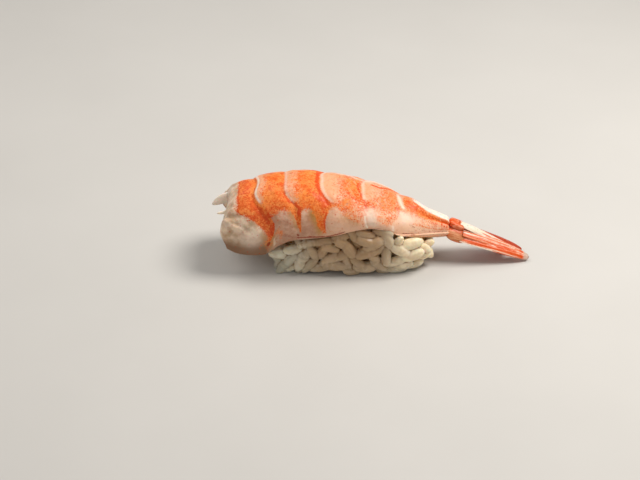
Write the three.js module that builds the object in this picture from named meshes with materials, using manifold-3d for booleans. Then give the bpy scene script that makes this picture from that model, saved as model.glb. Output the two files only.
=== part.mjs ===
// Shrimp nigiri: a hand-pressed block of sushi rice under a cooked, butterflied shrimp that keeps its tail.
// Millimetres. X runs along the shrimp from its cut head end to its tail, Y from the front side to the
// back side, Z up. The origin is the middle of the flat underside of the rice.
import * as THREE from "three";
import { mergeGeometries, mergeVertices } from "three/addons/utils/BufferGeometryUtils.js";
import Module from "manifold-3d";

const wasm = await Module();
wasm.setup();

// ---- Driving dimensions -------------------------------------------------------------------------------

const GAP = 0.3; // between pieces that touch
const HAIR = 2e-3; // corners closer than this are one

// The rice block before its grains: rounded at both ends, with a flat underside.
const RICE_LENGTH = 49.5;
const RICE_WIDTH = 20.4;
const RICE_WAIST_HEIGHT = 9; // where the block is widest
const RICE_UNDERCUT = 12; // from there down to where its lower half would close, under the flat underside
const RICE_SQUARENESS = 3; // 2 is an ellipse, more is squarer
const RICE_TOP = [[-26, 19], [-20, 23], [-12, 25.5], [0, 24], [8, 21.5], [14, 18], [20, 13.5], [26, 9.5]];

// One cooked short grain, and how the grains lie on the block.
const GRAIN_LENGTH = 7.0;
const GRAIN_WIDTH = 3.4;
const GRAIN_THICKNESS = 2.8;
const GRAIN_BLUNTNESS = 0.7; // 1 tapers its ends to a point, less makes them rounder
const GRAIN_ROWS = [1.5, 4.4, 7.3, 10.2, 13.1]; // heights
const GRAIN_PITCH = 5.2; // along a row
const GRAIN_SINK = 0.3; // how far a grain's middle lies inside the block
// How far a grain may stray from its place: a share of the pitch, of the sink, a height, a turn and a size.
const GRAIN_STRAY = { along: 0.25, sink: 1.2, height: 0.5, turn: 1.35, size: 0.1 };
const FACING_SHARE = [0.35, 0.6]; // of its place along the block and up it, in the way a grain's face looks

// Grains that stand out of the front: the place of the middle, and a turn in degrees.
const PROUD_GRAINS = [
  [-20.7, -8.7, 2.1, 55], [-22.3, -7.2, 1.9, 75], [-18.6, -8.8, 1.7, 32], [-19.0, -7.4, 2.5, -20],
  [-22.4, -5.6, 3.2, 65], [-15.8, -8.8, 2.0, 80], [0.4, -10.4, 1.3, -12], [14.4, -8.9, 1.5, 4],
  [19.4, -6.6, 1.6, 25], [-5.2, -10.7, 3.6, -3], [-0.4, -11.1, 9.4, -55], [6.8, -11.0, 11.2, 32],
  [15.4, -10.4, 8.8, -34], [18.6, -8.9, 6.6, 12],
];

// The shrimp's meat, along X. Each profile pairs a place on X with a size there.
const MEAT_THICKNESS = 5.4;
const ARCH_FULLNESS = 2.25; // 2 is an ellipse, more is squarer
const RIDGE_HEIGHT = [
  [-41, 20.5], [-36, 24.8], [-31.5, 26.9], [-27, 28.3], [-20.5, 29.3], [-14, 29.4], [-9, 29.0],
  [-4, 27.9], [1, 26.5], [6, 25.0], [14, 21.5], [19, 19.4], [24, 16.5], [28.5, 14.6], [32, 13.3],
];
const EDGE_HEIGHT = [
  [-41, 10.2], [-36, 8.0], [-31, 7.4], [-26.5, 7.9], [-22.5, 10.9], [-18, 13.0], [-10, 13.9], [-4, 14.7],
  [0.5, 16.0], [5.5, 16.6], [11, 15.9], [15, 14.3], [20, 12.8], [26, 11.4], [32, 10.6],
];
const EDGE_REACH = [
  [-41, 11.8], [-36, 13.0], [-28, 13.7], [-16, 14.0], [0, 13.5], [8, 12.6], [14, 10.9], [19, 8.3],
  [25, 5.3], [32, 3.0],
];
const BELLY_DEPTH = [[12, 0], [16, 2.2], [20, 3.0], [26, 3.2], [32, 2.3]]; // of the last, whole segment

// The head end, the five joints between the segments and the waist: where each crosses the back line,
// and how far it is shifted along X at 0, 1/4, 1/2, 3/4 and all the way down the side.
const JOINT_X = [-39.2, -29.6, -20.5, -9.4, 3.2, 14.8, 31.4];
const JOINT_SHIFT = [
  [0, -0.7, -1.6, -1.4, 0.4],
  [0, -0.9, 1.6, 5.1, 2.8],
  [0, -0.5, 3.1, 3.9, 4.2],
  [0, 0.4, 2.5, 1.5, 2.7],
  [0, 0.8, 1.8, 1.5, 2.4],
  [0, 0.6, 1.0, -0.1, -0.8],
  [0, 0, 0, 0, 0],
];
const GROOVE_DEPTHS = [0.75, 0.75, 0.75, 0.65, 0.35]; // on the back line
const GROOVE_FADE = 0.65; // share of that depth lost on the way down to the edge
const GROOVE_SHARPNESS = 1.6; // 1 is a plain V, more is a narrower groove
const LEADING_SHARE = 0.26; // of a segment, where its front edge rises out of the groove
const TRAILING_SHARE = 0.32; // of a segment, where it sinks into the next groove
const HEAD_ROUND = 2.6; // radius of the cut head end
const WAIST_ROUND = 1.6;
const RIM_BLUNTNESS = 4.5; // 2 rounds the meat's long edges over its whole width, more rounds them late
const CLOSING = [4.1, 5.1]; // where the opened arch becomes a whole tube, counted in segments

// The low ridge along the back of the last segment, and the furrow on its near side: across runs from -1
// at the near edge over 0 on the back line to 1 at the far edge.
const KEEL = { height: 0.6, start: [5.02, 5.25], farFoot: [0.25, 0.6], nearSlope: 0.18 };
const FURROW = { atJoint: -0.05, atWaist: -0.38, halfWidth: 0.1, depth: 0.4 };

// The white barb that stands out of the head end, near the back line, and the small tooth in front of it.
const BARBS = [
  { root: [-36.8, 3.4, 20.0], tip: [-43.3, 3.0, 17.2], radius: 1.9 },
  { root: [-38.0, -5.2, 19.6], tip: [-41.1, -5.7, 19.0], radius: 0.7 },
];

// The tail, from the waist: a knuckle with the pointed middle piece on it, and two blades on each side.
const KNUCKLE = { root: [33.0, 0.1, 11.7], half: [2.6, 2.1, 1.0], squareness: 3.5, pitch: 24 };
const TELSON = {
  root: [33.8, 0.1, 12.6], length: 18.4, halfWidth: 1.7, thickness: 0.9,
  pitch: 29.3, yaw: -0.6, arch: 0.1, camber: 0.5, pointed: 1,
};
const INNER_BLADE = {
  root: [34.8, -2.0, 10.3], length: 21.6, halfWidth: 1.8, thickness: 0.7,
  pitch: 23.2, yaw: 0.9, roll: 22, arch: 0.3, camber: 0.2, pointed: 0.4,
};
const OUTER_BLADE = {
  root: [33.9, -2.8, 9.3], length: 23.35, halfWidth: 2.3, thickness: 0.7,
  pitch: 20.4, yaw: 1.2, roll: 26, arch: 0.5, camber: 0.3, pointed: 0.38,
};
const PROTOPOD = { root: [32.8, -2.5, 9.3], half: [3.5, 2.2, 1.0], squareness: 2.6, pitch: 21, roll: 38 };
const FAR_SIDE = { lift: -0.4, steeper: 1.0, shorter: 1.8, roll: 6 }; // how the far pieces differ
const BLADE_ROOT_SHARE = 0.85; // of a blade's width, at its root
const BLADE_OPEN = 0.28; // share of its length where a blade has opened to its full width
const BLADE_CLOSE = 0.3; // share of its length where it starts to close
const BLADE_FULLNESS = 2.2; // how late it closes
const TIP_SHARE = 0.14; // of a blade's width, left at its tip

// ---- Numbers along a line -----------------------------------------------------------------------------

const { clamp, lerp, smoothstep, degToRad } = THREE.MathUtils;

// The smooth value at x of a profile of [x, value] pairs.
function along(profile, x) {
  const last = profile.length - 1;
  let i = 1;
  while (i < last && profile[i][0] < x) i++;
  const [x0, a] = profile[i - 1];
  const [x1, b] = profile[i];
  const slope = (j) => {
    const from = profile[Math.max(j - 1, 0)];
    const to = profile[Math.min(j + 1, last)];
    return (to[1] - from[1]) / (to[0] - from[0]);
  };
  const width = x1 - x0;
  const t = clamp((x - x0) / width, 0, 1);
  const rest = 1 - t;
  const bend = t * rest * (slope(i - 1) * rest - slope(i) * t) * width;
  return a + (b - a) * t * t * (3 - 2 * t) + bend;
}

// A number from 0 to 1 that looks random and is the same every time.
function scatter(index, kind) {
  const wave = Math.sin(index * 12.9898 + kind * 78.233 + 4.1) * 43758.5453;
  return wave - Math.floor(wave);
}

const spread = (index, kind, reach) => (scatter(index, kind) * 2 - 1) * reach;

// 0 at a rim and 1 from radius inwards, on a quarter circle.
function quarterRound(distance, radius) {
  const left = clamp(1 - distance / radius, 0, 1);
  return Math.sqrt(1 - left * left);
}

// ---- Solids -------------------------------------------------------------------------------------------

function bare(geometry) {
  geometry.deleteAttribute("normal");
  geometry.deleteAttribute("uv");
  return geometry;
}

// A closed body between two sheets that meet at their rims. top and under give a point for u along the
// body and v across it, at the stops that the two lists name.
function pillow(alongStops, acrossStops, top, under) {
  const columns = acrossStops.length;
  const sheet = (pointAt, mirrored) => {
    const grid = bare(new THREE.PlaneGeometry(1, 1, columns - 1, alongStops.length - 1));
    const position = grid.getAttribute("position");
    alongStops.forEach((u, row) =>
      acrossStops.forEach((v, column) => {
        const place = row * columns + (mirrored ? columns - 1 - column : column);
        position.setXYZ(place, ...pointAt(u, v).toArray());
      }),
    );
    return grid;
  };
  return mergeVertices(mergeGeometries([sheet(top, false), sheet(under, true)]), 1e-3);
}

// A sphere whose points are moved by a rule from their own directions.
function moulded(columns, rows, rule) {
  const ball = bare(new THREE.SphereGeometry(1, columns, rows));
  const position = ball.getAttribute("position");
  const point = new THREE.Vector3();
  for (let i = 0; i < position.count; i++) {
    point.fromBufferAttribute(position, i);
    position.setXYZ(i, ...rule(point).toArray());
  }
  return mergeVertices(ball, 1e-3);
}

function solidOf(geometry) {
  const body = new wasm.Manifold(
    new wasm.Mesh({
      numProp: 3,
      vertProperties: new Float32Array(geometry.getAttribute("position").array),
      triVerts: new Uint32Array(geometry.index.array),
    }),
  );
  if (body.volume() < 0) throw new Error("a solid is inside out");
  return body;
}

// The body's surface, with the corners that a cut leaves closer than a hair drawn together.
function geometryOf(body) {
  const mesh = body.getMesh();
  const cut = new THREE.BufferGeometry();
  cut.setAttribute("position", new THREE.BufferAttribute(new Float32Array(mesh.vertProperties), 3));
  cut.setIndex(new THREE.BufferAttribute(new Uint32Array(mesh.triVerts), 1));
  const geometry = mergeVertices(cut, HAIR);
  const corners = Array.from(geometry.index.array);
  const kept = [];
  for (let i = 0; i < corners.length; i += 3) {
    const triangle = corners.slice(i, i + 3);
    if (new Set(triangle).size === 3) kept.push(...triangle);
  }
  geometry.setIndex(kept);
  geometry.computeVertexNormals();
  return geometry;
}

// The largest piece of a body, without the scraps that a cut can leave.
function largest(body) {
  return body.decompose().sort((a, b) => b.volume() - a.volume())[0];
}

const joined = (bodies) => bodies.reduce((whole, body) => whole.add(body));
const cutBy = (body, tools) => tools.reduce((left, tool) => left.subtract(tool), body);

// Turned by roll about its length, then pitched down, then yawed, and set at a place.
function placement({ root, roll = 0, pitch = 0, yaw = 0 }) {
  const turn = new THREE.Euler(degToRad(roll), degToRad(pitch), degToRad(yaw), "ZYX");
  return new THREE.Matrix4().makeRotationFromEuler(turn).setPosition(...root);
}

// ---- The shrimp's meat --------------------------------------------------------------------------------

const SEGMENTS = JOINT_X.length - 1;
const HALF_THICKNESS = MEAT_THICKNESS / 2;

// X of a joint at side, from 0 on the back line to 1 at the edge.
function jointAt(joint, side) {
  const shifts = JOINT_SHIFT[joint];
  const quarters = [[-0.25, shifts[1]], ...shifts.map((shift, i) => [i / 4, shift])];
  return JOINT_X[joint] + along(quarters, side);
}

// X at a place counted in segments from the head end, q from 0 to 6.
function segmentX(q, v) {
  const joint = Math.min(Math.floor(q), SEGMENTS - 1);
  return lerp(jointAt(joint, Math.abs(v)), jointAt(joint + 1, Math.abs(v)), q - joint);
}

// The outside of the arch of meat, before its rims are rounded and its grooves are sunk.
function archPoint(q, v) {
  const x = segmentX(q, v);
  const turn = (Math.abs(v) * Math.PI) / 2;
  const outward = Math.pow(Math.sin(turn), 2 / ARCH_FULLNESS);
  const upward = Math.pow(Math.max(Math.cos(turn), 0), 2 / ARCH_FULLNESS);
  const rim = along(EDGE_HEIGHT, x);
  return new THREE.Vector3(
    x,
    Math.sign(v) * along(EDGE_REACH, x) * outward,
    rim + (along(RIDGE_HEIGHT, x) - rim) * upward,
  );
}

function archNormal(q, v) {
  const step = 0.02;
  const lengthwise = archPoint(Math.min(q + step, SEGMENTS), v).sub(archPoint(Math.max(q - step, 0), v));
  const across = archPoint(q, Math.min(v + step, 1)).sub(archPoint(q, Math.max(v - step, -1)));
  return lengthwise.cross(across).normalize();
}

// 1 in the body of the meat, falling to 0 at its rims.
function fullness(q, v) {
  const x = segmentX(q, v);
  const headEnd = quarterRound(x - jointAt(0, Math.abs(v)), HEAD_ROUND);
  const waistEnd = quarterRound(jointAt(SEGMENTS, Math.abs(v)) - x, WAIST_ROUND);
  const rim = Math.sqrt(1 - Math.pow(Math.abs(v), RIM_BLUNTNESS));
  return Math.min(headEnd, waistEnd) * lerp(rim, 1, smoothstep(q, ...CLOSING));
}

// Depth of the groove between two segments: steep on its tail side, long on its head side.
function groove(q, v) {
  const joint = Math.round(q);
  if (joint < 1 || joint >= SEGMENTS) return 0;
  const away = q > joint ? (q - joint) / LEADING_SHARE : (joint - q) / TRAILING_SHARE;
  const sharp = Math.pow(clamp(1 - away, 0, 1), GROOVE_SHARPNESS);
  return GROOVE_DEPTHS[joint - 1] * sharp * (1 - GROOVE_FADE * Math.abs(v));
}

// The low ridge on the back of the last segment, with a furrow on its near side.
function keel(q, v) {
  const furrow = lerp(FURROW.atJoint, FURROW.atWaist, clamp(q - SEGMENTS + 1, 0, 1));
  const ridge = smoothstep(v, furrow, furrow + KEEL.nearSlope) * (1 - smoothstep(v, ...KEEL.farFoot));
  const dip = Math.exp(-Math.pow((v - furrow) / FURROW.halfWidth, 2));
  return smoothstep(q, ...KEEL.start) * (KEEL.height * ridge - FURROW.depth * dip);
}

// The meat as a body, with its surface moved out by grow.
function meatBody(grow) {
  const outside = (q, v) => {
    const full = fullness(q, v);
    const relief = (keel(q, v) - groove(q, v)) * Math.min(1, full * 1.5);
    const out = relief + grow - HALF_THICKNESS * (1 - full);
    return archPoint(q, v).addScaledVector(archNormal(q, v), out);
  };
  const inside = (q, v) => {
    const full = fullness(q, v);
    const x = segmentX(q, v);
    const turn = (v * Math.PI) / 2;
    const hollow = archPoint(q, v).addScaledVector(archNormal(q, v), -HALF_THICKNESS * (1 + full) - grow);
    const belly = new THREE.Vector3(
      x,
      (along(EDGE_REACH, x) - HALF_THICKNESS * (1 - full) + grow) * Math.sin(turn),
      along(EDGE_HEIGHT, x) - (along(BELLY_DEPTH, x) * full + grow) * Math.cos(turn),
    );
    return hollow.lerp(belly, smoothstep(q, ...CLOSING));
  };
  const alongStops = [0, 0.05, 0.16, 0.4, 0.7];
  for (let segment = 1; segment < SEGMENTS; segment++) {
    alongStops.push(...[0, LEADING_SHARE / 2, LEADING_SHARE, 0.45, 0.75].map((share) => segment + share));
  }
  alongStops.push(5.9, 5.97, SEGMENTS);
  const half = [0, 0.1, 0.22, 0.36, 0.5, 0.64, 0.78, 0.89, 0.96, 1];
  const acrossStops = [...half.slice(1).reverse().map((v) => -v), ...half];
  const onRim = (q, v) => Math.abs(v) === 1 || q === 0 || q === SEGMENTS;
  const middle = (q, v) => outside(q, v).add(inside(q, v)).multiplyScalar(0.5);
  const upper = (q, v) => (onRim(q, v) ? middle(q, v) : outside(q, v));
  const lower = (q, v) => (onRim(q, v) ? middle(q, v) : inside(q, v));
  return solidOf(pillow(alongStops, acrossStops, upper, lower));
}

function barb({ root, tip, radius }, grow) {
  const from = new THREE.Vector3(...root);
  const way = new THREE.Vector3(...tip).sub(from);
  const cone = bare(new THREE.ConeGeometry(radius + grow, way.length() + grow, 8));
  cone.translate(0, way.length() / 2, 0);
  const turn = new THREE.Quaternion().setFromUnitVectors(new THREE.Vector3(0, 1, 0), way.normalize());
  return solidOf(mergeVertices(cone.applyQuaternion(turn).translate(...root), 1e-3));
}

function shrimpMeat(grow) {
  return joined([meatBody(grow), ...BARBS.map((shape) => barb(shape, grow))]);
}

// ---- The rice -----------------------------------------------------------------------------------------

// A point of the block's skin in a direction from its middle.
function blockPoint(direction) {
  const n = RICE_SQUARENESS;
  const sum = direction.toArray().reduce((total, part) => total + Math.pow(Math.abs(part), n), 0);
  const size = Math.pow(sum, -1 / n);
  const x = (direction.x * size * RICE_LENGTH) / 2;
  const rise = direction.z > 0 ? along(RICE_TOP, x) - RICE_WAIST_HEIGHT : RICE_UNDERCUT;
  return new THREE.Vector3(
    x,
    (direction.y * size * RICE_WIDTH) / 2,
    Math.max(RICE_WAIST_HEIGHT + direction.z * size * rise, 0),
  );
}

// The block's outline at a height, as a closed curve.
function blockOutline(height) {
  const n = RICE_SQUARENESS;
  const rise = height - RICE_WAIST_HEIGHT;
  const round = (value) => Math.sign(value) * Math.pow(Math.abs(value), 2 / n);
  const points = Array.from({ length: 48 }, (_, i) => {
    const turn = (i / 48) * 2 * Math.PI;
    const x = (round(Math.cos(turn)) * RICE_LENGTH) / 2;
    const y = (round(Math.sin(turn)) * RICE_WIDTH) / 2;
    const share = rise < 0 ? -rise / RICE_UNDERCUT : rise / (along(RICE_TOP, x) - RICE_WAIST_HEIGHT);
    const narrowing = Math.pow(1 - Math.pow(Math.min(share, 0.95), n), 1 / n);
    return new THREE.Vector3(x * narrowing, y * narrowing, height);
  });
  return new THREE.CatmullRomCurve3(points, true);
}

// The way out of the block at a place on it.
function facing(place) {
  const [endwise, upright] = FACING_SHARE;
  return new THREE.Vector3(place.x * endwise, place.y, (place.z - RICE_WAIST_HEIGHT) * upright).normalize();
}

// A grain at a place, flat across the way out, its length turned by angle from the line that runs level.
function grain(place, out, level, angle, size) {
  const flat = level.clone().addScaledVector(out, -level.dot(out)).normalize();
  const lengthwise = flat.applyAxisAngle(out, angle);
  const across = new THREE.Vector3().crossVectors(lengthwise, out);
  const frame = new THREE.Matrix4().makeBasis(across, lengthwise, out).setPosition(place);
  const half = new THREE.Vector3(GRAIN_WIDTH, GRAIN_LENGTH, GRAIN_THICKNESS).multiplyScalar(size / 2);
  const blunt = (point) => {
    const girth = Math.pow(Math.max(Math.hypot(point.x, point.z), 1e-9), GRAIN_BLUNTNESS - 1);
    return point.set(point.x * girth, point.y, point.z * girth);
  };
  return solidOf(moulded(5, 4, (point) => blunt(point).multiply(half).applyMatrix4(frame)));
}

// The grains of one row, without those that the shrimp covers.
function riceRow(height, row) {
  const outline = blockOutline(height);
  const count = Math.round(outline.getLength() / GRAIN_PITCH);
  const grains = [];
  for (let i = 0; i < count; i++) {
    const index = row * 100 + i;
    const share = ((i + 0.5 * (row % 2) + spread(index, 1, GRAIN_STRAY.along) + 1) / count) % 1;
    const place = outline.getPointAt(share);
    if (place.z > Math.min(along(EDGE_HEIGHT, place.x) + 1, along(RICE_TOP, place.x) - 2)) continue;
    const outward = new THREE.Vector3(place.x * FACING_SHARE[0], place.y, 0).normalize();
    place.addScaledVector(outward, -GRAIN_SINK * (1 + spread(index, 2, GRAIN_STRAY.sink)));
    place.z += spread(index, 3, GRAIN_STRAY.height);
    const angle = spread(index, 4, GRAIN_STRAY.turn);
    const size = 1 + spread(index, 5, GRAIN_STRAY.size);
    grains.push(grain(place, facing(place), outline.getTangentAt(share), angle, size));
  }
  return grains;
}

function proudGrain([x, y, z, turn]) {
  const out = new THREE.Vector3(0, -1, 0);
  return grain(new THREE.Vector3(x, y, z), out, new THREE.Vector3(1, 0, 0), degToRad(turn), 1);
}

function riceBlock(covering) {
  const core = solidOf(moulded(20, 12, blockPoint));
  const rows = GRAIN_ROWS.flatMap((height, row) => riceRow(height, row));
  const grains = [...rows, ...PROUD_GRAINS.map(proudGrain)];
  const floor = wasm.Manifold.cube([200, 200, 20], true).translate(0, 0, -10);
  return largest(cutBy(wasm.Manifold.union([core, ...grains]), [floor, covering]));
}

// ---- The tail -----------------------------------------------------------------------------------------

// A thin leaf, widest before its middle: arch bends it along its length, camber across.
function blade(shape, grow) {
  const { length, halfWidth, thickness, arch, camber, pointed } = shape;
  const frame = placement(shape);
  const widthAt = (u) => {
    const opening = lerp(BLADE_ROOT_SHARE, 1, Math.sqrt(clamp(u / BLADE_OPEN, 0, 1)));
    const past = clamp((u - BLADE_CLOSE) / (1 - BLADE_CLOSE), 0, 1);
    const closing = Math.pow(1 - Math.pow(past, BLADE_FULLNESS), pointed);
    return halfWidth * opening * lerp(TIP_SHARE, 1, closing);
  };
  const side = (sign) => (u, v) => {
    const rim = Math.sqrt(Math.max(1 - v * v, 0)) * Math.min(1, 0.25 + 3 * u, 0.3 + 5 * (1 - u));
    const lift = arch * Math.sin(Math.PI * u) - camber * v * v + sign * (thickness / 2) * rim + sign * grow;
    return new THREE.Vector3(u * (length + grow), v * (widthAt(u) + grow), lift).applyMatrix4(frame);
  };
  const upper = side(1);
  const lower = side(-1);
  const alongStops = [0, 0.07, 0.2, 0.4, 0.6, 0.78, 0.92, 1];
  const acrossStops = [-1, -0.7, 0, 0.7, 1];
  const onRim = (u, v) => Math.abs(v) === 1 || u === 0 || u === 1;
  const middle = (u, v) => upper(u, v).add(lower(u, v)).multiplyScalar(0.5);
  const top = (u, v) => (onRim(u, v) ? middle(u, v) : upper(u, v));
  const under = (u, v) => (onRim(u, v) ? middle(u, v) : lower(u, v));
  return solidOf(pillow(alongStops, acrossStops, top, under));
}

// A rounded block: squareness 2 is an ellipsoid, more is squarer.
function lump(shape, grow) {
  const n = shape.squareness;
  const frame = placement(shape);
  const size = new THREE.Vector3(...shape.half).addScalar(grow);
  const rule = (point) => {
    const sum = point.toArray().reduce((total, part) => total + Math.pow(Math.abs(part), n), 0);
    return point.multiplyScalar(Math.pow(sum, -1 / n)).multiply(size).applyMatrix4(frame);
  };
  return solidOf(moulded(12, 8, rule));
}

// The same lump or blade on the other side of the tail.
function farSide(shape) {
  const [x, y, z] = shape.root;
  return {
    ...shape,
    root: [x, -y, z + FAR_SIDE.lift],
    ...(shape.length && { length: shape.length - FAR_SIDE.shorter }),
    roll: FAR_SIDE.roll,
    pitch: shape.pitch + FAR_SIDE.steeper,
    yaw: -(shape.yaw ?? 0),
  };
}

// Each piece is cut clear of those that lie on it: the meat, the middle piece, then the near side's blades.
function tailPieces(meatCutter) {
  const middle = (grow) => joined([lump(KNUCKLE, grow), blade(TELSON, grow)]);
  const above = [meatCutter, middle(GAP)];
  const pieces = { tail_telson: largest(cutBy(middle(0), [meatCutter])) };
  for (const [side, placed] of [["near", (shape) => shape], ["far", farSide]]) {
    const inner = (grow) => blade(placed(INNER_BLADE), grow);
    const outer = (grow) => joined([lump(placed(PROTOPOD), grow), blade(placed(OUTER_BLADE), grow)]);
    pieces[`tail_fin_${side}_inner`] = largest(cutBy(inner(0), above));
    pieces[`tail_fin_${side}_outer`] = largest(cutBy(outer(0), [...above, inner(GAP)]));
    above.push(inner(GAP), outer(GAP));
  }
  return pieces;
}

// ---- The whole ----------------------------------------------------------------------------------------

const LOOKS = {
  rice: { color: "#e6dcc6", roughness: 0.42, metalness: 0 },
  meat: { color: "#e98a4e", roughness: 0.36, metalness: 0 },
  shell: { color: "#e0714a", roughness: 0.3, metalness: 0 },
};

const group = new THREE.Group();

function addPiece(name, body, look) {
  const mesh = new THREE.Mesh(geometryOf(body), new THREE.MeshStandardMaterial(LOOKS[look]));
  mesh.name = name;
  group.add(mesh);
}

const meatCutter = shrimpMeat(GAP);
addPiece("shrimp_meat", shrimpMeat(0), "meat");
addPiece("rice_block", riceBlock(meatCutter), "rice");
for (const [name, body] of Object.entries(tailPieces(meatCutter))) addPiece(name, body, "shell");

export default group;
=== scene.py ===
# Shrimp nigiri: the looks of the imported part. Shapes are worked out in millimetres and set down in metres.
# X runs along the shrimp from its cut head end to its tail, Y from the front side to the back, Z up.
import math
from functools import reduce

import bmesh
import bpy
import numpy as np
from mathutils import Euler, Matrix, Quaternion, Vector, noise
from mathutils.kdtree import KDTree


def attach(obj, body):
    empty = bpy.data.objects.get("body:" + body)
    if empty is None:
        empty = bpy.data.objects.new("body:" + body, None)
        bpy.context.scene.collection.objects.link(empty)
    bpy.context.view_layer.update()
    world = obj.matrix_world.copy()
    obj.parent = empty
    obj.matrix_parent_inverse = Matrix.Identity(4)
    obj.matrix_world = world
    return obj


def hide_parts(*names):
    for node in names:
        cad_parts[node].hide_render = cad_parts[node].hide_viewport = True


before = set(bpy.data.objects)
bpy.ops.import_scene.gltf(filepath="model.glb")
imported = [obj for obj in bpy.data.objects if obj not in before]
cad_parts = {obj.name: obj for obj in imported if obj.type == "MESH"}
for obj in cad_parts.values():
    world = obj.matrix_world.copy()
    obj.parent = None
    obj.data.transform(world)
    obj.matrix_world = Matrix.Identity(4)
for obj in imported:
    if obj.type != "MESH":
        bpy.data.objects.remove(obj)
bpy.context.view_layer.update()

MM = 0.001

# ---- Driving dimensions, in millimetres ----

# The rice block before its grains: rounded at both ends, with a flat underside.
RICE_LENGTH = 49.5
RICE_WIDTH = 20.4
RICE_WAIST_HEIGHT = 9
RICE_UNDERCUT = 12
RICE_SQUARENESS = 3
RICE_TOP = [(-26, 19), (-20, 23), (-12, 25.5), (0, 24), (8, 21.5), (14, 18), (20, 13.5), (26, 9.5)]
CORE_SHRINK = 1.2
FUSE_STEP = 0.21
FUSE_KEPT = 0.55
FUSE_SOFTENING = 0.2

# One cooked short grain, and how the grains lie on the block.
GRAIN_LENGTH = 6.9
GRAIN_WIDTH = 3.3
GRAIN_THICKNESS = 2.8
GRAIN_BLUNTNESS = 0.8
GRAIN_ROWS = [1.5, 4, 6.5, 9, 11.5, 14]
GRAIN_PITCH = 4.4
GRAIN_STRAY = {"along": 0.3, "least_sink": 0.3, "sink": 1, "height": 0.6, "turn": 1.35, "size": 0.11}
FACING_SHARE = (0.35, 0.6)
# The grains of the front: place along X, height, turn in degrees, size, and how far they stand proud.
FRONT_GRAINS = [
    (-21.6, 6.3, -8, 1.25, 0.9), (-22.3, 1.9, 75, 1, 2.6), (-20.7, 2.1, 55, 1.05, 2.4),
    (-22.4, 3.4, -60, 0.95, 1.2), (-18.7, 4.3, 50, 1.05, 0.9), (-18.6, 1.7, 32, 1, 1.5),
    (-15.5, 4.7, 72, 1.05, 0.9), (-15.8, 2.1, 80, 0.95, 0.5), (-13.7, 6.9, 66, 1.05, 0.2),
    (-12.8, 3.3, 48, 1, 0.7), (-17.5, 8.4, 8, 1.1, 0.1), (-11.5, 7.6, -62, 0.95, 0.3),
    (-9.4, 2.4, 6, 1.1, 0.2), (-13.2, 10.8, 20, 1, -0.2), (-8.6, 8.4, 70, 0.9, 0.2),
    (-6.2, 9.8, -20, 0.95, 0.5), (-5.2, 3.6, -3, 1.25, 0.5), (-5.4, 6, 8, 1.15, 0.1),
    (-2.2, 11.3, -38, 1.1, 0.3), (-1.8, 7.6, 30, 1, 0), (0.4, 1.3, -12, 0.95, 1),
    (-0.4, 9.4, -55, 1.1, 0.6), (1.8, 5.3, -48, 1.05, 0.6), (-1, 4, -72, 0.95, 0.3),
    (4.2, 12.6, -16, 1.1, 0.8), (6.8, 11.2, 32, 1.2, 0.6), (5.4, 8.4, 14, 1.2, 0.5),
    (11.3, 12.4, -62, 1.05, 0.5), (11, 7.2, 86, 1.05, 0.7), (4.4, 2.9, -2, 1.25, 0.5),
    (8.6, 3.6, -38, 0.95, 0.6), (7.6, 5.5, -50, 1, 0.2), (10.4, 1.2, 18, 0.95, 0.2),
    (14.4, 1.5, 4, 1.1, 0.3), (12.2, 3.6, 10, 0.95, 0), (16, 3, 3, 1.05, 0.5), (19.4, 2.2, 22, 1, 0.4),
    (14.2, 11.3, 66, 1, 0.5), (18.2, 10.4, 8, 1.15, 0.4), (15.4, 8.8, -34, 1.15, 1),
    (18.6, 6.6, 12, 1.25, 0.9), (14, 4.9, 14, 1.05, 0.5), (21.9, 8, -26, 0.95, 0.5),
    (23.8, 5.8, -64, 1, 0.5), (8.8, 9.6, 60, 1, -0.3), (21.6, 4.4, 30, 1, 0.1),
    (4.4, 14.6, -14, 0.95, 0.2), (9.7, 14.9, -4, 1.1, 0), (23.4, 7.6, 40, 0.9, -0.2),
    (0.6, 14.4, -60, 0.9, 0), (-3.6, 13.6, 20, 1, 0), (-8.6, 12, 10, 1, 0)]
FRONT_TILT = 0.25  # how far one of them leans at most
# The scattered grains in front of this Y lie behind those, and so much deeper.
FRONT_SIDE = -2
FRONT_BACKING = 2
# How strongly painted shade darkens the rice where it lies deep between the grains: on the core, its
# underside and the backing grains.
GAP_SHADE = {"core": 1, "underside": 0.1, "backing": 0.25}

# The shrimp's meat, along X. Each profile pairs a place on X with a size there.
MEAT_THICKNESS = 5.4
ARCH_FULLNESS = 2.25
RIDGE_HEIGHT = [
    (-41, 20.5), (-36, 24.8), (-31.5, 26.9), (-27, 28.3), (-20.5, 29.3), (-14, 29.4), (-9, 29),
    (-4, 27.9), (1, 26.5), (6, 25), (14, 21.5), (19, 19.4), (24, 16.5), (28.5, 14.6), (32, 13.3)]
EDGE_HEIGHT = [
    (-41, 10.2), (-36, 8), (-31, 7.4), (-26.5, 7.9), (-22.5, 10.9), (-18, 13), (-10, 13.9), (-4, 14.7),
    (0.5, 16), (5.5, 16.6), (11, 15.9), (15, 14.3), (20, 12.8), (26, 11.4), (32, 10.6)]
EDGE_REACH = [
    (-41, 11.8), (-36, 13), (-28, 13.7), (-16, 14), (0, 13.5), (8, 12.6), (14, 10.9), (19, 8.3),
    (25, 5.3), (32, 3)]
BELLY_DEPTH = [(12, 0), (16, 2.2), (20, 3), (26, 3.2), (32, 2.3)]

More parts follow.
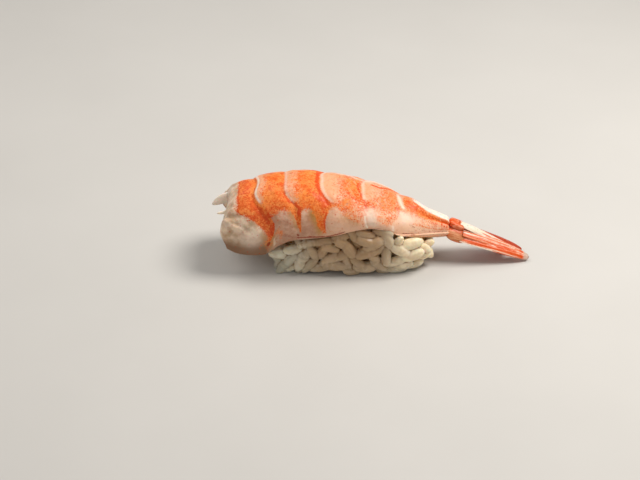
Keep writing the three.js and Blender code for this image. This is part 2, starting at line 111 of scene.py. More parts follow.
# The head end, the five joints between the segments and the waist: where each crosses the back line, and
# how far it is shifted along X at 0, 1/4, 1/2, 3/4 and all the way down the side.
JOINT_X = [-39.2, -29.6, -20.5, -9.4, 3.2, 14.8, 31.4]
JOINT_SHIFT = [
    (0, -0.7, -1.6, -1.4, 0.4), (0, -0.9, 1.6, 5.1, 2.8), (0, -0.5, 3.1, 3.9, 4.2), (0, 0.4, 2.5, 1.5, 2.7),
    (0, 0.8, 1.8, 1.5, 2.4), (0, 0.6, 1, -0.1, -0.8), (0, 0, 0, 0, 0)]
SEGMENTS = len(JOINT_X) - 1
GROOVE_DEPTHS = [0.75, 0.75, 0.75, 0.65, 0.35]
GROOVE_FADE = 0.65
GROOVE_SHARPNESS = 1.6
LEADING_SHARE = 0.26
TRAILING_SHARE = 0.32
HEAD_ROUND = 2.6
WAIST_ROUND = 1.6
RIM_BLUNTNESS = 4.5
CLOSING = (4.1, 5.1)
LEAN = [(4.2, 0), (4.9, 0.2), (5.5, 0.25), (6, 0.3)]  # how far the pattern's back line leans to the far side
KEEL = {"height": 0.6, "start": (5.02, 5.25), "far_foot": (0.25, 0.6), "near_slope": 0.18}
FURROW = {"at_joint": -0.05, "at_waist": -0.38, "half_width": 0.1, "depth": 0.4}
SKIN_LUMPS = [(4.5, 0.16), (1.6, 0.07)]  # the size and height of the soft lumps of the skin
SKIN_SINK = 0.3

# The white barb at the head end and the small tooth in front of it: root, tip and root radius.
BARBS = [
    {"root": (-36.8, 3.4, 20), "length": 6.7, "half_width": 1.75, "thickness": 1.3, "pitch": 15, "yaw": 184,
     "roll": 90, "arch": 0, "camber": 0, "pointed": 1, "hook": -1.1},
    {"root": (-38, -5.2, 19.6), "length": 3.1, "half_width": 0.6, "thickness": 0.6, "pitch": 8, "yaw": 190,
     "roll": 90, "arch": 0, "camber": 0, "pointed": 0.8, "hook": 0.2}]

# The tail, from the waist: a knuckle with the pointed middle piece on it, and two blades on each side.
KNUCKLE = {"root": (33, 0.1, 11.7), "half": (2.6, 2.1, 1), "squareness": 3.5, "pitch": 24}
TELSON = {"root": (33.8, 0.1, 12.6), "length": 18.4, "half_width": 1.7, "thickness": 0.9,
          "pitch": 29.3, "yaw": -0.6, "roll": 0, "arch": 0.1, "camber": 0.5, "pointed": 1}
INNER_BLADE = {"root": (34.8, -2, 10.3), "length": 21.6, "half_width": 1.8, "thickness": 0.7,
               "pitch": 23.2, "yaw": 0.9, "roll": 22, "arch": 0.3, "camber": 0.2, "pointed": 0.4}
OUTER_BLADE = {"root": (33.9, -2.8, 9.3), "length": 23.3, "half_width": 2.3, "thickness": 0.7,
               "pitch": 20.4, "yaw": 1.2, "roll": 26, "arch": 0.5, "camber": 0.3, "pointed": 0.38}
PROTOPOD = {"root": (32.8, -2.5, 9.3), "half": (3.5, 2.2, 1), "squareness": 2.6, "pitch": 21, "roll": 38}
FAR_SIDE = {"lift": -0.4, "steeper": 1, "shorter": 1.8, "roll": 6}
BLADE_ROOT_SHARE = 0.85
BLADE_OPEN = 0.28
BLADE_CLOSE = 0.3
BLADE_FULLNESS = 2.2
TIP_SHARE = 0.14
RIB = {"height": 0.18, "half_width": 0.13}
VEINS = {"height": 0.05, "closeness": 19}

# The orange pigment of the cooked shrimp. Places are counted in segments from the head end, and down the
# side from 0 on the back line to 1 at the edge.
SEGMENT_SPAN = 10
SIDE_SPAN = 20
SKIN_START = [(0, 0.5), (0.13, 0.53), (0.29, 0.54), (0.41, 0.48), (0.47, 0.5), (0.7, 0.5)]
SKIN_FOOT = [
    (0.4, 0.42), (0.5, 0.47), (0.65, 0.52), (0.79, 0.62), (0.9, 0.77), (1, 0.87), (1.08, 0.87),
    (1.14, 0.74), (1.2, 0.6), (1.35, 0.57), (1.6, 0.55), (1.8, 0.57), (1.92, 0.63), (2, 0.74),
    (2.09, 0.87), (2.14, 0.86), (2.17, 0.62), (2.25, 0.56), (2.45, 0.55), (2.6, 0.63), (2.72, 0.78),
    (2.82, 0.89), (2.95, 0.91), (3, 0.76), (3.04, 0.55), (3.2, 0.5), (3.33, 0.57), (3.45, 0.66),
    (3.6, 0.73), (3.8, 0.8), (3.93, 0.84), (3.97, 0.7), (4.01, 0.5), (4.1, 0.47), (4.2, 0.53),
    (4.28, 0.66), (4.4, 0.78), (4.6, 0.83), (4.78, 0.78), (4.87, 0.63), (4.94, 0.5), (5.05, 0.47),
    (5.2, 0.59), (5.4, 0.7), (5.7, 0.77), (6, 0.85)]
# How strong the orange is along the shrimp, on its back and low on its side.
BACK_STRENGTH = [(0, 1), (2.9, 1), (3.2, 0.85), (3.6, 0.7), (4, 0.7), (4.4, 0.5), (5, 0.6), (6, 0.7)]
SIDE_STRENGTH = [(0, 1), (3.2, 0.85), (3.5, 0.5), (4.2, 0.35), (4.8, 0.5), (5.1, 0.3), (6, 0.45)]
# A pale crescent where each segment rises: the line it starts on, its width, how far down it reaches,
# how pale it is, and how white its rim.
CRESCENTS = [
    ([(1.07, 0), (1.075, 0.1), (1.095, 0.29), (1.12, 0.38)], 0.4, 0.4, 0.95, 0.9),
    ([(2, 0), (2.05, 0.23), (2.015, 0.35), (2, 0.43)], 0.48, 0.46, 0.8, 0.35),
    ([(3.01, 0), (3, 0.09), (3.01, 0.22), (3.04, 0.35), (3.1, 0.42)], 0.58, 0.44, 1, 0.45),
    ([(4.03, 0), (4, 0.15), (4, 0.3)], 0.5, 0.26, 0.8, 0.35),
    ([(4.92, 0), (4.97, 0.13), (5.01, 0.26), (5.03, 0.33), (5.05, 0.42)], 0.16, 0.4, 0.8, 0.4)]
CRESCENT_RIM = {"after": 0.05, "half_width": 0.038}
# Lines of deeper orange-red: the points they run through, half width in millimetres, and strength.
DEEP_LINES = [
    ([(0.44, 0), (0.54, 0.13), (0.56, 0.29), (0.49, 0.41), (0.52, 0.48), (0.66, 0.53)], 0.35, 0.9),
    ([(0.66, 0.52), (0.9, 0.6), (1.15, 0.56), (1.5, 0.5)], 1.5, 0.6),
    ([(0.75, 0.02), (0.85, 0.3)], 2.6, 0.5),
    ([(1, 0.45), (1.05, 0.62), (1.02, 0.8)], 1.3, 0.75),
    ([(1.2, 0.55), (1.21, 0.65), (1.12, 0.71), (1.12, 0.8)], 0.4, 1),
    ([(1.95, 0.1), (2, 0.28), (1.96, 0.4)], 0.45, 0.6),
    ([(1.95, 0.42), (2.05, 0.47), (2.14, 0.55), (2.08, 0.62)], 0.7, 0.9),
    ([(1.96, 0.6), (2.1, 0.86)], 0.7, 0.45),
    ([(2.92, 0), (2.95, 0.2), (2.98, 0.36), (3.02, 0.46)], 0.75, 1),
    ([(2.8, 0.3), (2.86, 0.46), (2.92, 0.6)], 1.2, 0.6),
    ([(2.97, 0.6), (2.98, 0.84)], 0.45, 0.8),
    ([(3.62, 0.18), (3.7, 0.26), (3.75, 0.32)], 1, 0.6),
    ([(3.42, 0.04), (3.5, 0.1)], 0.8, 0.6),
    ([(3.93, 0), (3.98, 0.15), (4.03, 0.3), (3.96, 0.48), (3.94, 0.62)], 0.6, 0.8),
    ([(4, 0.3), (4.2, 0.34)], 1, 0.6),
    ([(4.9, 0.37), (4.95, 0.46), (4.9, 0.55)], 0.55, 0.9),
    ([(5.6, 0.6), (5.95, 0.77)], 1.5, 0.5)]
OLIVE_LINES = [
    ([(2.55, 0.62), (2.72, 0.76), (2.76, 0.88)], 1.5, 1), ([(1.12, 0.84), (1.2, 0.92)], 0.9, 0.8),
    ([(1.85, 0.62), (2, 0.8)], 1, 0.7), ([(3.5, 0.7), (3.75, 0.8)], 1.4, 0.35),
    ([(0.86, 0.78), (0.98, 0.88)], 0.8, 0.5)]
# Thin dark lines low on the side, and the white creases where a segment's edge turns up. The white lines also
# hold painted light over the cut head end and a painted highlight on the flap's fold.
EDGE_LINES = [
    ([(2, 0.925), (2.04, 0.93)], 0.35, 1.2), ([(1.02, 0.9), (1.05, 0.905)], 0.5, 1.2),
    ([(1.25, 0.9), (1.35, 0.86), (1.6, 0.9), (2, 0.965)], 0.5, 0.5),
    ([(2, 0.965), (2.45, 0.97), (3.04, 0.985), (3.24, 0.965), (3.4, 0.95)], 0.28, 1),
    ([(4, 0.95), (4.4, 0.94), (4.75, 0.95)], 0.22, 0.9), ([(5.12, 0.97), (5.3, 0.99)], 0.3, 0.8),
    ([(5.2, 0.76), (5.54, 0.93), (5.85, 0.97)], 0.3, 0.6)]
WHITES_AND_PAINTED_LIGHT = [
    ([(4.98, 0.04), (5.02, 0.13), (5.055, 0.26), (5.07, 0.34)], 0.36, 0.7),
    # The first entry on the next line is painted light, a broad pale band over the cut head end.
    ([(0.08, 0.1), (0.1, 0.42)], 1.8, 0.35), ([(0.58, 0.76), (0.66, 0.82)], 1.8, 0.4),
    # A painted highlight on the fold of the flap.
    ([(0.14, 0.53), (0.24, 0.6)], 0.6, 0.5),
    ([(4.1, 0.5), (4.17, 0.68), (4.2, 0.82)], 1.7, 0.5), ([(5.08, 0.5), (5.12, 0.66)], 2, 0.45),
    ([(3.95, 0.62), (3.985, 0.78), (3.99, 0.93)], 0.25, 1), ([(4.84, 0.82), (4.87, 0.93)], 0.35, 0.7),
    ([(1.2, 0.88), (1.28, 0.95)], 0.3, 0.5), ([(4.05, 0.55), (4.12, 0.7), (4.17, 0.84)], 1.1, 0.55)]
# On one side of the back alone: the line over the fourth segment, and the start of the keel's far foot.
BACK_LINES = [([(4.28, 0.14), (4.5, 0.15), (4.62, 0.22), (4.9, 0.33)], 0.4, 1.3),
              ([(4.99, 0.24), (5.16, 0.52)], 0.35, 1.1)]
# White places on the far side of the back, in the same way: a pale zone over the fourth segment that is
# partly a painted highlight, and a painted highlight along the crest of the third.
BACK_WHITES_AND_HIGHLIGHTS = [([(4.1, 0.3), (4.25, 0.36), (4.5, 0.4), (4.75, 0.48)], 1.8, 0.65),
               ([(3.42, 0.3), (3.6, 0.34), (3.82, 0.27)], 0.8, 0.6)]
# Faint orange low on the side.
BLUSHES = [([(5.3, 0.72), (5.7, 0.85), (5.95, 0.88)], 0.8, 0.5), ([(1.28, 0.81), (1.45, 0.86)], 1, 0.5),
           ([(0.95, 0.88), (1.1, 0.92)], 1, 0.45)]
# Where a colour begins and is full: in segments from the head end, or down the side.
CUT_END = (0.7, 1.1)
# Painted light: from the third segment towards the tail, the side is made paler where it is lit.
SIDE_LIGHT = {"along": (2.3, 3.6), "down": (0.4, 0.6), "strength": 0.75}
WAIST_BAND = (5.93, 5.98)
FURROW_COLOUR = (5.02, 5.15)
KEEL_COLOUR = (5.15, 5.35)
SKIN_DEPTH = (2.7, 3.5)  # how deep under the arch the orange ends, in millimetres
# Folds of the flap at the head end: points, half width in millimetres, and height.
FOLDS = [
    ([(0.12, 0.47), (0.19, 0.53), (0.27, 0.61), (0.33, 0.65)], 0.7, 0.45),
    ([(0.1, 0.42), (0.25, 0.47), (0.42, 0.5)], 0.9, -0.5),
    ([(0.2, 0.6), (0.3, 0.7), (0.28, 0.82)], 1.3, -0.35),
    ([(0.4, 0.6), (0.5, 0.66), (0.6, 0.72)], 0.5, -0.25),
    ([(0.6, 0.74), (0.66, 0.84)], 2.2, 0.4),
    ([(0.3, 0.3), (0.2, 0.36), (0.1, 0.38)], 0.6, -0.3),
    ([(0.35, 0.36), (0.22, 0.41)], 0.5, 0.25),
    ([(0.34, 0.12), (0.2, 0.2)], 0.7, -0.25)]

# ---- Numbers along a line ----


def along(profile, x):
    """The smooth value at each x of a profile of (x, value) pairs."""
    places, values = np.array(profile, float).T
    slopes = np.empty_like(values)
    slopes[1:-1] = (values[2:] - values[:-2]) / (places[2:] - places[:-2])
    slopes[0] = (values[1] - values[0]) / (places[1] - places[0])
    slopes[-1] = (values[-1] - values[-2]) / (places[-1] - places[-2])
    x = np.asarray(x, float)
    i = np.clip(np.searchsorted(places, x), 1, len(places) - 1)
    width = places[i] - places[i - 1]
    t = np.clip((x - places[i - 1]) / width, 0, 1)
    rest = 1 - t
    bend = t * rest * (slopes[i - 1] * rest - slopes[i] * t) * width
    return values[i - 1] + (values[i] - values[i - 1]) * t * t * (3 - 2 * t) + bend


def lerp(a, b, t):
    return a + (b - a) * t


def ramp(x, low, high):
    """0 up to low and 1 from high, with a soft rise between."""
    t = np.clip((x - low) / (high - low), 0, 1)
    return t * t * (3 - 2 * t)


def scatter(index, kind):
    """A number from 0 to 1 that looks random and is the same every time."""
    wave = math.sin(index * 12.9898 + kind * 78.233 + 4.1) * 43758.5453
    return wave - math.floor(wave)


def spread(index, kind, reach):
    """Such a number from -reach to reach."""
    return (scatter(index, kind) * 2 - 1) * reach


def quarter_round(distance, radius):
    """0 at a rim and 1 from radius inwards, on a quarter circle."""
    left = np.clip(1 - distance / radius, 0, 1)
    return np.sqrt(1 - left * left)


def line_at(value, place, half_width):
    """1 at a place, falling away softly on both sides."""
    return np.exp(-((value - place) / half_width) ** 2)


def strongest(*values):
    return reduce(np.maximum, values)


def ripple(points, size, seed):
    """Smooth noise from -1 to 1 at each point, with lumps of about that size."""
    shift = Vector((seed * 7.3, seed * 3.1, seed * 5.7))
    return np.array([noise.noise(Vector(p) / size + shift) for p in points])


# ---- Pieces ----


def vertex_array(verts):
    return np.array([v.co for v in verts])


def move_to(verts, points):
    for vert, point in zip(verts, points):
        vert.co = point


def add_sheet(bm, u_stops, v_stops, rule):
    """A grid whose corners go where rule(u, v) says. Gives its vertices and their u and v."""
    grid = bmesh.ops.create_grid(bm, x_segments=len(u_stops) - 1, y_segments=len(v_stops) - 1, size=1)
    flat = vertex_array(grid["verts"])
    column = np.rint((flat[:, 0] + 1) / 2 * (len(u_stops) - 1)).astype(int)
    row = np.rint((flat[:, 1] + 1) / 2 * (len(v_stops) - 1)).astype(int)
    u, v = np.asarray(u_stops)[column], np.asarray(v_stops)[row]
    move_to(grid["verts"], rule(u, v))
    return grid["verts"], u, v


def add_pillow(bm, u_stops, v_stops, top, under):
    """A closed body between two sheets that meet at their rims. Keeps u and v as two of its marks."""
    known = bm.verts.layers.float
    layers = [known.get(name) or known.new(name) for name in ("lengthwise", "across")]
    verts = []
    for rule, other in ((top, under), (under, top)):
        def closing(u, v):
            rim = (u <= u_stops[0]) | (u >= u_stops[-1]) | (v <= v_stops[0]) | (v >= v_stops[-1])
            points = rule(u, v)
            return np.where(rim[:, None], (points + other(u, v)) / 2, points)
        sheet, u, v = add_sheet(bm, u_stops, v_stops, closing)
        for layer, values in zip(layers, (u, v)):
            for vert, value in zip(sheet, values):
                vert[layer] = value
        if rule is under:
            faces = list({face for vert in sheet for face in vert.link_faces})
            bmesh.ops.reverse_faces(bm, faces=faces)
        verts += sheet
    bmesh.ops.remove_doubles(bm, verts=verts, dist=1e-3)


def make_piece(name, bm, finish, replaced):
    """Sets a bmesh in millimetres down as a piece in metres that rides on the part."""
    bmesh.ops.scale(bm, vec=(MM, MM, MM), verts=bm.verts)
    mesh = bpy.data.meshes.new(name)
    bm.to_mesh(mesh)
    bm.free()
    mesh.shade_smooth()
    mesh.materials.append(finish)
    piece = bpy.data.objects.new(name, mesh)
    bpy.context.scene.collection.objects.link(piece)
    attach(piece, "root")
    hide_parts(*replaced)
    return piece


def add_marks(piece, marks):
    """Numbers for each vertex under each name, for the materials to read."""
    for name, values in marks.items():
        mark = piece.data.attributes.new(name, "FLOAT", "POINT")
        mark.data.foreach_set("value", np.asarray(values, np.float32))


def read_marks(piece, *names):
    found = [np.zeros(len(piece.data.vertices), np.float32) for _ in names]
    for name, values in zip(names, found):
        piece.data.attributes[name].data.foreach_get("value", values)
    return found


def placement(shape):
    """Turned by roll about its length, then pitched down, then yawed, and set at a place."""
    turns = [math.radians(shape.get(name, 0)) for name in ("roll", "pitch", "yaw")]
    return Matrix.Translation(shape["root"]) @ Euler(turns, "XYZ").to_matrix().to_4x4()


# ---- Finishes ----


class Wiring:
    """Adds nodes to a tree and joins them in few words."""

    def __init__(self, tree):
        self.tree = tree

    def node(self, kind, values=None, **settings):
        made = self.tree.nodes.new(kind)
        for name, value in settings.items():
            setattr(made, name, value)
        for name, value in (values or {}).items():
            self.feed(made.inputs[name], value)
        return made

    def feed(self, socket, value):
        if isinstance(value, bpy.types.NodeSocket):
            self.tree.links.new(value, socket)
        else:
            socket.default_value = value

    def math(self, operation, *values):
        made = self.node("ShaderNodeMath", operation=operation)
        for socket, value in zip(made.inputs, values):
            self.feed(socket, value)
        return made.outputs[0]

    def times(self, first, second):
        return self.math("MULTIPLY", first, second)

    def plus(self, first, second):
        return self.math("ADD", first, second)

    def minus(self, first, second):
        return self.math("SUBTRACT", first, second)

    def between(self, value, low, high, start=0.0, end=1.0):
        values = {"Value": value, "From Min": low, "From Max": high, "To Min": start, "To Max": end}
        made = self.node("ShaderNodeMapRange", values, interpolation_type="SMOOTHSTEP")
        return made.outputs["Result"]

    def blend(self, share, first, second):
        """A colour between two, by a share from 0 to 1."""
        made = self.node("ShaderNodeMix", data_type="RGBA")
        self.feed(made.inputs["Factor"], share)
        self.feed(made.inputs[6], first)
        self.feed(made.inputs[7], second)
        return made.outputs[2]

    def tinted(self, colour, tints):
        """A colour with others laid over it in turn, each as strong as the mark it is given with."""
        for name, over in tints.items():
            colour = self.blend(self.mark(name), colour, srgb(*over))
        return colour

    def place(self):
        return self.node("ShaderNodeTexCoord").outputs["Object"]

    def mark(self, name):
        return self.node("ShaderNodeAttribute", attribute_name=name).outputs["Fac"]

    def lumps(self, place, per_mm, detail=2.0, roughness=0.5):
        values = {"Vector": place, "Scale": per_mm / MM, "Detail": detail, "Roughness": roughness}
        return self.node("ShaderNodeTexNoise", values).outputs["Fac"]

    def bump(self, height, depth):
        values = {"Height": height, "Distance": depth * MM, "Strength": 1.0}
        return self.node("ShaderNodeBump", values).outputs["Normal"]


def srgb(red, green, blue):
    """A colour given as it looks on a screen, out of 255."""
    parts = [c / 255 for c in (red, green, blue)]
    return tuple(c / 12.92 if c <= 0.04045 else ((c + 0.055) / 1.055) ** 2.4 for c in parts) + (1.0,)


def make_group(name, inputs, outputs, build):
    """A node group whose sockets are all numbers, filled in by build(net, inputs, outputs)."""
    tree = bpy.data.node_groups.new(name, "ShaderNodeTree")
    for label, value in inputs.items():
        socket = tree.interface.new_socket(label, in_out="INPUT", socket_type="NodeSocketFloat")
        socket.default_value = value
    for label in outputs:
        tree.interface.new_socket(label, in_out="OUTPUT", socket_type="NodeSocketFloat")
    net = Wiring(tree)
    entry = net.node("NodeGroupInput")
    leave = net.node("NodeGroupOutput")
    build(net, entry.outputs, leave.inputs)
    return tree


def build_speckle(net, given, result):
    """Fine round spots of pigment, of uneven size, on about a share of their cells."""
    scale = net.math("DIVIDE", given["Per mm"], MM)
    place = net.place()
    cells = net.node("ShaderNodeTexVoronoi", {"Vector": place, "Scale": scale, "Randomness": 1.0})
    chance = net.node("ShaderNodeSeparateColor", {"Color": cells.outputs["Color"]})
    size = net.between(chance.outputs[0], 0.0, 1.0, 0.25, 0.6)
    inner = net.times(size, 0.4)
    made = net.node("ShaderNodeMapRange", {
        "Value": cells.outputs["Distance"], "From Min": inner, "From Max": size,
        "To Min": 1.0, "To Max": 0.0})
    there = net.math("LESS_THAN", chance.outputs[1], given["Share"])
    net.feed(result["Spots"], net.times(made.outputs["Result"], there))


def build_moist(net, given, result):
    """How wet skin varies: roughness in soft patches, and a bump of soft lumps and fine grain."""
    place = net.place()
    patches = net.lumps(place, 0.35, 3.0)
    low = net.times(given["Roughness"], 0.75)
    high = net.times(given["Roughness"], 1.3)
    net.feed(result["Roughness"], net.between(patches, 0.35, 0.65, low, high))
    soft = net.lumps(place, 0.8, 2.0)
    fine = net.lumps(place, 4.0, 2.0)
    height = net.math("MULTIPLY_ADD", fine, 0.12, soft)
    net.feed(result["Height"], net.times(height, given["Relief"]))


SPECKLE = make_group("pigment speckle", {"Per mm": 1.5, "Share": 0.5}, ["Spots"], build_speckle)
MOIST = make_group("moist surface", {"Roughness": 0.35, "Relief": 1.0}, ["Roughness", "Height"], build_moist)


def new_finish(name, coat, soft_share, soft_radius, soft_depth):
    """A material with its shader, whose even values are set on the shader itself."""
    finish = bpy.data.materials.new(name)
    finish.use_nodes = True
    finish.node_tree.nodes.clear()
    net = Wiring(finish.node_tree)
    shader = net.node("ShaderNodeBsdfPrincipled", {
        "Coat Weight": coat, "Coat Roughness": 0.12, "IOR": 1.36, "Specular IOR Level": 0.25,
        "Subsurface Weight": soft_share, "Subsurface Radius": soft_radius,
        "Subsurface Scale": soft_depth * MM})
    leave = net.node("ShaderNodeOutputMaterial", {"Surface": shader.outputs[0]})
    leave.is_active_output = True
    return finish, net, shader


def use_group(net, tree, values):
    """The outputs of a group that is given some values."""
    made = net.node("ShaderNodeGroup", node_tree=tree)
    for name, value in values.items():
        net.feed(made.inputs[name], value)
    return made.outputs


def shrimp_finish():
    """Cooked shrimp: translucent cream meat, an orange skin in mottled saddles, and fine speckles."""
    finish, net, shader = new_finish("cooked shrimp", 0.07, 0.3, (1.0, 0.5, 0.28), 1.2)
    place = net.place()
    broad = net.lumps(place, 0.28, 3.0, 0.55)
    coarse = net.lumps(place, 0.8, 4.0, 0.65)
    fine = net.lumps(place, 2.2, 3.0, 0.6)
    mottle = net.plus(net.minus(coarse, 0.5), net.times(net.minus(fine, 0.5), 1.4))
    pigment = net.between(net.plus(net.mark("pigment"), mottle), 0.1, 0.8)
    deep = net.between(net.plus(net.mark("deep"), mottle), 0.2, 0.9)
    blotch = net.between(broad, 0.35, 0.65)
    body_meat = net.blend(blotch, srgb(200, 148, 120), srgb(234, 192, 164))
    flap_meat = net.blend(blotch, srgb(200, 166, 133), srgb(246, 220, 193))
    meat = net.blend(net.mark("cut_end"), body_meat, flap_meat)
    # Among these tints, the paler side towards the tail is painted light and the darker tint low on the side
    # is painted shade.
    meat = net.tinted(meat, {
        "shaded": (140, 106, 80), "painted_side_light": (249, 200, 166), "pale": (240, 172, 130), "keel": (255, 226, 212)})
    meat = net.blend(net.times(net.mark("olive"), 0.75), meat, srgb(186, 130, 34))
    uneven = net.between(net.plus(broad, net.times(mottle, 0.5)), 0.38, 0.64)
    light_skin = net.blend(uneven, srgb(248, 146, 68), srgb(234, 102, 14))
    skin = net.blend(deep, light_skin, srgb(222, 72, 0))
    colour = net.blend(net.times(pigment, 0.95), meat, skin)
    small = use_group(net, SPECKLE, {"Per mm": 1.9, "Share": net.between(pigment, 0, 1, 0.08, 0.85)})
    large = use_group(net, SPECKLE, {"Per mm": 0.9, "Share": net.between(pigment, 0, 1, 0.02, 0.3)})
    spots = net.math("MAXIMUM", net.times(small["Spots"], 0.62), net.times(large["Spots"], 0.4))
    colour = net.blend(spots, colour, srgb(204, 62, 4))
    # White lines and creases, with painted highlights and painted light over the head end.
    colour = net.tinted(colour, {"white_line_and_highlight": (255, 234, 216)})
    line = net.between(net.plus(net.mark("dark_line"), mottle), 0.3, 0.9)
    colour = net.blend(net.times(line, 0.85), colour, srgb(150, 42, 4))
    net.feed(shader.inputs["Base Color"], colour)
    skin_feel = use_group(net, MOIST, {"Roughness": 0.42, "Relief": 1.0})
    duller = net.math("MULTIPLY_ADD", deep, 0.3, skin_feel["Roughness"])
    net.feed(shader.inputs["Roughness"], duller)
    net.feed(shader.inputs["Normal"], net.bump(skin_feel["Height"], 0.2))
    return finish


def shell_finish():
    """Thin tail shell: salmon with paler and redder streaks along it, cream or clear in places."""
    finish, net, shader = new_finish("tail shell", 0.18, 0.2, (1.0, 0.4, 0.25), 0.8)
    place = net.place()
    down = net.node("ShaderNodeCombineXYZ", {
        "X": net.times(net.mark("lengthwise"), 2.5), "Y": net.times(net.mark("across"), 5.0),
        "Z": net.mark("seed")})
    streaks = net.node("ShaderNodeTexNoise", {
        "Vector": down.outputs[0], "Scale": 1.0, "Detail": 4.0, "Roughness": 0.65})
    streak = net.between(streaks.outputs["Fac"], 0.34, 0.66)
    patches = net.lumps(place, 0.9, 3.0)
    uneven = net.minus(net.plus(net.times(streak, 0.7), net.times(patches, 0.6)), 0.65)
    colour = net.blend(streak, srgb(222, 92, 44), srgb(246, 152, 106))
    pale = net.between(net.plus(net.mark("pale"), uneven), 0.2, 0.8)
    colour = net.blend(pale, colour, net.blend(patches, srgb(255, 240, 224), srgb(252, 218, 190)))
    deep = net.between(net.minus(net.mark("deep"), uneven), 0.15, 0.85)
    colour = net.blend(deep, colour, srgb(222, 82, 20))
    tan = net.blend(streak, srgb(186, 104, 56), srgb(222, 156, 112))
    colour = net.blend(net.mark("tan"), colour, tan)
    colour = net.tinted(colour, {"clear": (206, 188, 172)})
    spots = use_group(net, SPECKLE, {"Per mm": 1.7, "Share": 0.3})
    colour = net.blend(net.times(spots["Spots"], 0.3), colour, srgb(206, 70, 20))
    colour = net.tinted(colour, {"shade": (150, 34, 6)})
    net.feed(shader.inputs["Base Color"], colour)
    feel = use_group(net, MOIST, {"Roughness": 0.3, "Relief": 0.8})
    net.feed(shader.inputs["Roughness"], feel["Roughness"])
    height = net.math("MULTIPLY_ADD", streaks.outputs["Fac"], 1.6, feel["Height"])
    net.feed(shader.inputs["Normal"], net.bump(height, 0.16))
    return finish


def rice_finish():
    """Cooked grains: creamy, clouded inside and wet on the outside, with warm painted shade in the gaps and
    creases, painted shade with an orange bounce from the shrimp under its middle, and painted light towards
    the tail end.
    """
    finish, net, shader = new_finish("cooked rice", 0.35, 0.85, (1.0, 0.8, 0.55), 1.6)
    place = net.place()
    cloud = net.lumps(place, 0.5, 2.0)
    cool = net.blend(net.mark("tint"), srgb(186, 184, 168), srgb(230, 224, 202))
    # Painted light: the rice is paler towards the tail end and up from the floor.
    cream = net.blend(net.mark("painted_light"), cool, srgb(252, 234, 202))
    # Painted shade, with an orange bounce from the shrimp, under the shrimp's middle.
    colour = net.tinted(cream, {"painted_overhang_shade": (172, 120, 62)})
    colour = net.blend(net.between(cloud, 0.35, 0.7, 0.0, 0.35), colour, srgb(186, 160, 120))
    # Painted shade where the core and the backing grains lie deep between the grains, lighter where the
    # painted light falls.
    low = net.blend(net.mark("painted_light"), srgb(176, 118, 50), srgb(206, 164, 104))
    colour = net.blend(net.mark("painted_gap_shade"), colour, low)
    # Painted shade in the creases between the grains.
    between = net.between(net.mark("crease"), 0.0, 0.025, 0.0, 0.75)
    colour = net.blend(between, colour, srgb(138, 98, 56))
    net.feed(shader.inputs["Base Color"], colour)
    feel = use_group(net, MOIST, {"Roughness": 0.28, "Relief": 1.0})
    net.feed(shader.inputs["Roughness"], feel["Roughness"])
    net.feed(shader.inputs["Normal"], net.bump(feel["Height"], 0.1))
    return finish


def table_finish():
    """The plain, pale table under the part."""
    finish, net, shader = new_finish("pale table", 0.0, 0.0, (1.0, 1.0, 1.0), 1.0)
    colour = net.blend(net.lumps(net.place(), 0.02, 3.0), srgb(202, 199, 194), srgb(210, 207, 202))
    net.feed(shader.inputs["Base Color"], colour)
    shader.inputs["Roughness"].default_value = 0.6
    return finish


# ---- The shrimp's meat ----

HALF_THICKNESS = MEAT_THICKNESS / 2


def joint_at(joint, side):
    """X of each joint at a side, from 0 on the back line to 1 at the edge."""
    x = np.zeros_like(side)
    for number, (place, shifts) in enumerate(zip(JOINT_X, JOINT_SHIFT)):
        quarters = [(-0.25, shifts[1])] + [(i / 4, shift) for i, shift in enumerate(shifts)]
        here = joint == number
        x[here] = place + along(quarters, side[here])
    return x


def segment_x(q, v):
    """X at a place counted in segments from the head end, q from 0 to 6."""
    joint = np.minimum(np.floor(q).astype(int), SEGMENTS - 1)
    return lerp(joint_at(joint, abs(v)), joint_at(joint + 1, abs(v)), q - joint)


def arch_point(q, v):
    """The outside of the arch of meat, before its rims are rounded and its grooves are sunk."""
    x = segment_x(q, v)
    turn = abs(v) * math.pi / 2
    outward = np.sin(turn) ** (2 / ARCH_FULLNESS)
    upward = np.maximum(np.cos(turn), 0) ** (2 / ARCH_FULLNESS)
    rim = along(EDGE_HEIGHT, x)
    y = np.sign(v) * along(EDGE_REACH, x) * outward
    return np.stack([x, y, rim + (along(RIDGE_HEIGHT, x) - rim) * upward], -1)


def arch_normal(q, v):
    """The way out of the arch."""
    step = 0.02
    lengthwise = arch_point(np.minimum(q + step, SEGMENTS), v) - arch_point(np.maximum(q - step, 0), v)
    across = arch_point(q, np.minimum(v + step, 1)) - arch_point(q, np.maximum(v - step, -1))
    out = np.cross(lengthwise, across)
    return out / np.linalg.norm(out, axis=-1, keepdims=True)


def fullness(q, v):
    """1 in the body of the meat, falling to 0 at its rims."""
    x = segment_x(q, v)
    head_end = quarter_round(x - joint_at(np.zeros_like(q), abs(v)), HEAD_ROUND)
    waist_end = quarter_round(joint_at(np.full_like(q, SEGMENTS), abs(v)) - x, WAIST_ROUND)
    rim = np.sqrt(np.maximum(1 - abs(v) ** RIM_BLUNTNESS, 0))
    return np.minimum(head_end, waist_end) * lerp(rim, 1, ramp(q, *CLOSING))


def groove(q, v):
    """Depth of the groove between two segments: steep on its tail side, long on its head side."""
    joint = np.rint(q)
    away = np.where(q > joint, (q - joint) / LEADING_SHARE, (joint - q) / TRAILING_SHARE)
    deepest = np.array([0, *GROOVE_DEPTHS, 0])[joint.astype(int)]
    return deepest * np.clip(1 - away, 0, 1) ** GROOVE_SHARPNESS * (1 - GROOVE_FADE * abs(v))


